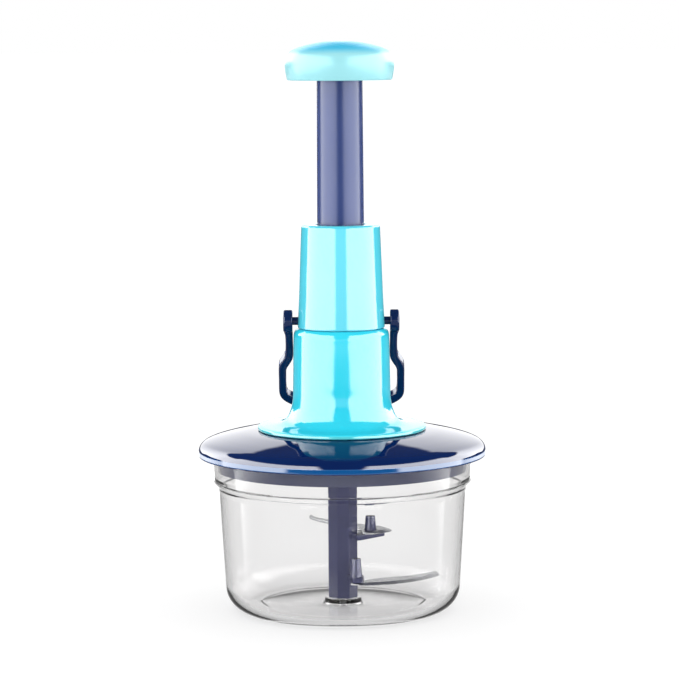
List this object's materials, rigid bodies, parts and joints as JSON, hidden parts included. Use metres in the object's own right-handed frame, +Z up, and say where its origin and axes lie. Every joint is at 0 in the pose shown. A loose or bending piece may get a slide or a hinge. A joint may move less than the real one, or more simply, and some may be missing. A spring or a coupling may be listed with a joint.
{
  "type": "plunger food chopper",
  "caption": "Hand-pressed food chopper: clear bowl with a blade column, saucer lid with a tapered two-stage housing, sprung plunger with a mushroom cap and a swinging storage bail.",
  "frame": {"origin": "centre of the bowl's underside, on the surface it stands on", "axes": "+Z up along the plunger, +X to the user's right along the bail's pivot axis, +Y to the back, where the bail hangs"},
  "size_m": [0.1382, 0.1382, 0.2731],
  "materials": {
    "clear_plastic": "clear polished plastic",
    "cyan_plastic": "glossy moulded plastic",
    "navy_plastic": "glossy moulded plastic",
    "white_plastic": "natural nylon, as moulded",
    "steel": "stainless steel, polished",
    "seal_rubber": "translucent silicone"
  },
  "bodies": {
    "bowl": {"bowl": "clear_plastic", "spindle_pin": "steel"},
    "lid": {"outer_lid": "navy_plastic", "inner_lid": "navy_plastic", "lid_seal": "seal_rubber", "lower_housing": "cyan_plastic", "upper_housing": "cyan_plastic", "guide_bush": "white_plastic", "drive_cover": "white_plastic", "spring_seat": "steel", "return_spring": "steel", "housing_screw_1": "steel", "housing_screw_2": "steel", "housing_screw_3": "steel", "housing_screw_4": "steel", "cover_screw_1": "steel", "cover_screw_2": "steel", "cover_screw_3": "steel"},
    "plunger": {"press_cap": "cyan_plastic", "plunger_tube": "navy_plastic", "cap_screw": "steel", "spiral_rod": "steel", "rod_pin": "steel"},
    "drive": {"drive_nut": "white_plastic", "output_coupler": "white_plastic"},
    "blades": {"blade_shaft": "navy_plastic", "upper_blade": "steel", "lower_blade": "steel"},
    "bail": {"bail": "navy_plastic"}
  },
  "joints": [
    {"name": "lid_lift", "type": "slide", "parent": "bowl", "child": "lid", "axis": [0, 0, 1], "range_m": [0, 0.12]},
    {"name": "plunger_press", "type": "slide", "parent": "lid", "child": "plunger", "axis": [0, 0, -1], "range_m": [0, 0.0825], "stiffness_N_per_m": 150, "springref_m": -0.03, "deforming": ["return_spring"]},
    {"name": "drive_spin", "type": "hinge", "parent": "lid", "child": "drive", "pos_m": [0, 0, 0.09], "axis": [0, 0, 1], "range_deg": [-900.6, 0]},
    {"name": "blade_spin", "type": "hinge", "parent": "bowl", "child": "blades", "pos_m": [0, 0, 0.006], "axis": [0, 0, 1], "range_deg": [-900.6, 0]},
    {"name": "bail_swing", "type": "hinge", "parent": "lid", "child": "bail", "pos_m": [0, 0, 0.1398], "axis": [1, 0, 0], "range_deg": [0, 128]}
  ],
  "couplings": [
    {"joint": "drive_spin", "follows": "plunger_press", "rad_per_m": -190.4},
    {"joint": "blade_spin", "follows": "plunger_press", "rad_per_m": -190.4}
  ]
}
